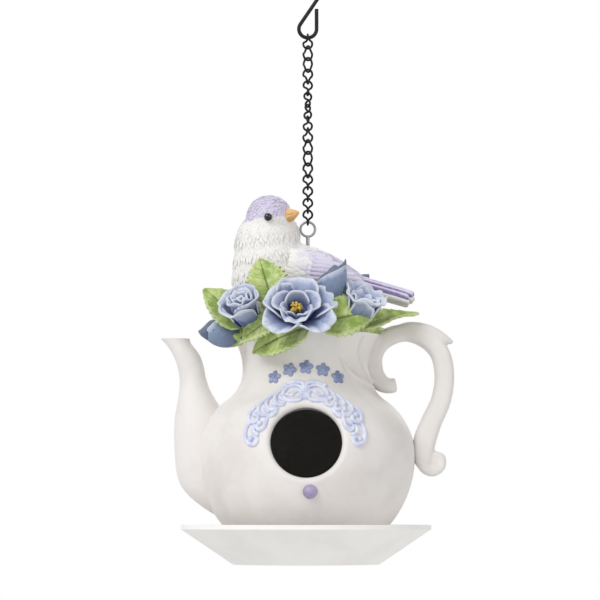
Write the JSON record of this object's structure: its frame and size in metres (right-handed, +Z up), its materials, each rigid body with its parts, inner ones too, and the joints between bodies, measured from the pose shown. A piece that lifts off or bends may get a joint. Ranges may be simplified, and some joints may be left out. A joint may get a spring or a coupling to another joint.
{
  "type": "hanging birdhouse",
  "caption": "Teapot-shaped hanging birdhouse with a round entry hole, saucer, scroll handle, spout, a bird and roses on its lid, and a twisted-link chain with an S-hook.",
  "frame": {"origin": "inside of the S-hook's upper bend, where it bears on what it hangs from", "axes": "+Z up along the chain, -Y out of the entry hole, +X towards the handle"},
  "size_m": [0.1608, 0.1366, 0.3237],
  "materials": {
    "pot_resin": "matt white cast resin",
    "saucer_resin": "matt white cast resin",
    "lid_resin": "green washed cast resin",
    "plug_rubber": "matt grey rubber",
    "knob_resin": "lavender paint",
    "eye_steel": "plated wire",
    "filigree_resin": "periwinkle paint",
    "blossom_resin": "blue-grey paint",
    "bird_resin": "painted cast resin",
    "beak_resin": "orange paint",
    "bird_eye_gloss": "gloss black",
    "plumage_resin": "lavender paint",
    "rose_resin": "blue paint, washed",
    "bud_resin": "blue paint, washed",
    "leaf_resin": "green paint, washed",
    "hook_black": "black enamel",
    "chain_black": "black enamel"
  },
  "bodies": {
    "hook": {"s_hook": "hook_black"},
    "link_01": {"chain_link_01": "chain_black"},
    "link_02": {"chain_link_02": "chain_black"},
    "link_03": {"chain_link_03": "chain_black"},
    "link_04": {"chain_link_04": "chain_black"},
    "link_05": {"chain_link_05": "chain_black"},
    "link_06": {"chain_link_06": "chain_black"},
    "link_07": {"chain_link_07": "chain_black"},
    "link_08": {"chain_link_08": "chain_black"},
    "link_09": {"chain_link_09": "chain_black"},
    "link_10": {"chain_link_10": "chain_black"},
    "link_11": {"chain_link_11": "chain_black"},
    "link_12": {"chain_link_12": "chain_black"},
    "link_13": {"chain_link_13": "chain_black"},
    "link_14": {"chain_link_14": "chain_black"},
    "link_15": {"chain_link_15": "chain_black"},
    "link_16": {"chain_link_16": "chain_black"},
    "house": {"pot_base": "pot_resin", "pot_foot": "pot_resin", "pot_bowl": "pot_resin", "pot_shoulder": "pot_resin", "pot_neck": "pot_resin", "spout": "pot_resin", "handle": "pot_resin", "saucer": "saucer_resin", "lid": "lid_resin", "perch_knob": "knob_resin", "screw_eye": "eye_steel", "filigree_arch": "filigree_resin", "blossom_band": "blossom_resin", "bird_body": "bird_resin", "bird_head": "bird_resin", "bird_beak": "beak_resin", "bird_eyes": "bird_eye_gloss", "wing_near": "plumage_resin", "wing_far": "plumage_resin", "bird_tail": "plumage_resin", "rose_front": "rose_resin", "rose_left": "rose_resin", "rose_right": "rose_resin", "rose_back": "rose_resin", "bud_left": "bud_resin", "bud_upright": "bud_resin", "bud_wing": "bud_resin", "leaf_upper_left": "leaf_resin", "leaf_upright": "leaf_resin", "leaf_small": "leaf_resin", "leaf_lower": "leaf_resin", "leaf_right": "leaf_resin", "leaf_far_right": "leaf_resin", "leaf_back_right": "leaf_resin", "leaf_back_left": "leaf_resin", "leaf_back_fill": "leaf_resin", "leaf_back_drop": "leaf_resin"},
    "plug": {"cleanout_plug": "plug_rubber"}
  },
  "joints": [
    {"name": "link_01_swivel", "type": "hinge", "parent": "hook", "child": "link_01", "pos_m": [0, 0, -0.02985], "axis": [0, 0, 1], "range_deg": [-30, 30]},
    {"name": "link_02_swing", "type": "hinge", "parent": "link_01", "child": "link_02", "pos_m": [0, 0, -0.0364], "axis": [0.4825, -0.8759, 0], "range_deg": [-32, 32]},
    {"name": "link_03_swing", "type": "hinge", "parent": "link_02", "child": "link_03", "pos_m": [0, 0, -0.0431], "axis": [0.8759, 0.4825, 0], "range_deg": [-32, 32]},
    {"name": "link_04_swing", "type": "hinge", "parent": "link_03", "child": "link_04", "pos_m": [0, 0, -0.0495], "axis": [-0.9764, 0.2158, 0], "range_deg": [-32, 32]},
    {"name": "link_05_swing", "type": "hinge", "parent": "link_04", "child": "link_05", "pos_m": [0, 0, -0.0562], "axis": [-0.2158, -0.9764, 0], "range_deg": [-32, 32]},
    {"name": "link_06_swing", "type": "hinge", "parent": "link_05", "child": "link_06", "pos_m": [0, 0, -0.0626], "axis": [0.8406, 0.5416, 0], "range_deg": [-32, 32]},
    {"name": "link_07_swing", "type": "hinge", "parent": "link_06", "child": "link_07", "pos_m": [0, 0, -0.0693], "axis": [-0.5416, 0.8406, 0], "range_deg": [-32, 32]},
    {"name": "link_08_swing", "type": "hinge", "parent": "link_07", "child": "link_08", "pos_m": [0, 0, -0.0757], "axis": [-0.2382, -0.9712, 0], "range_deg": [-32, 32]},
    {"name": "link_09_swing", "type": "hinge", "parent": "link_08", "child": "link_09", "pos_m": [0, 0, -0.0824], "axis": [0.9712, -0.2382, 0], "range_deg": [-32, 32]},
    {"name": "link_10_swing", "type": "hinge", "parent": "link_09", "child": "link_10", "pos_m": [0, 0, -0.0888], "axis": [-0.4758, 0.8796, 0], "range_deg": [-32, 32]},
    {"name": "link_11_swing", "type": "hinge", "parent": "link_10", "child": "link_11", "pos_m": [0, 0, -0.0955], "axis": [-0.8796, -0.4758, 0], "range_deg": [-32, 32]},
    {"name": "link_12_swing", "type": "hinge", "parent": "link_11", "child": "link_12", "pos_m": [0, 0, -0.1019], "axis": [0.9377, -0.3475, 0], "range_deg": [-32, 32]},
    {"name": "link_13_swing", "type": "hinge", "parent": "link_12", "child": "link_13", "pos_m": [0, 0, -0.1086], "axis": [0.3475, 0.9377, 0], "range_deg": [-32, 32]},
    {"name": "link_14_swing", "type": "hinge", "parent": "link_13", "child": "link_14", "pos_m": [0, 0, -0.115], "axis": [-1, 0, 0], "range_deg": [-32, 32]},
    {"name": "link_15_swing", "type": "hinge", "parent": "link_14", "child": "link_15", "pos_m": [0, 0, -0.1217], "axis": [0, -1, 0], "range_deg": [-32, 32]},
    {"name": "link_16_swing", "type": "hinge", "parent": "link_15", "child": "link_16", "pos_m": [0, 0, -0.1281], "axis": [1, 0, 0], "range_deg": [-32, 32]},
    {"name": "house_swing", "type": "hinge", "parent": "link_16", "child": "house", "pos_m": [0, 0, -0.1348], "axis": [0, 1, 0], "range_deg": [-32, 32]},
    {"name": "plug_pull", "type": "slide", "parent": "house", "child": "plug", "axis": [0, 0, -1], "range_m": [0, 0.024]}
  ]
}
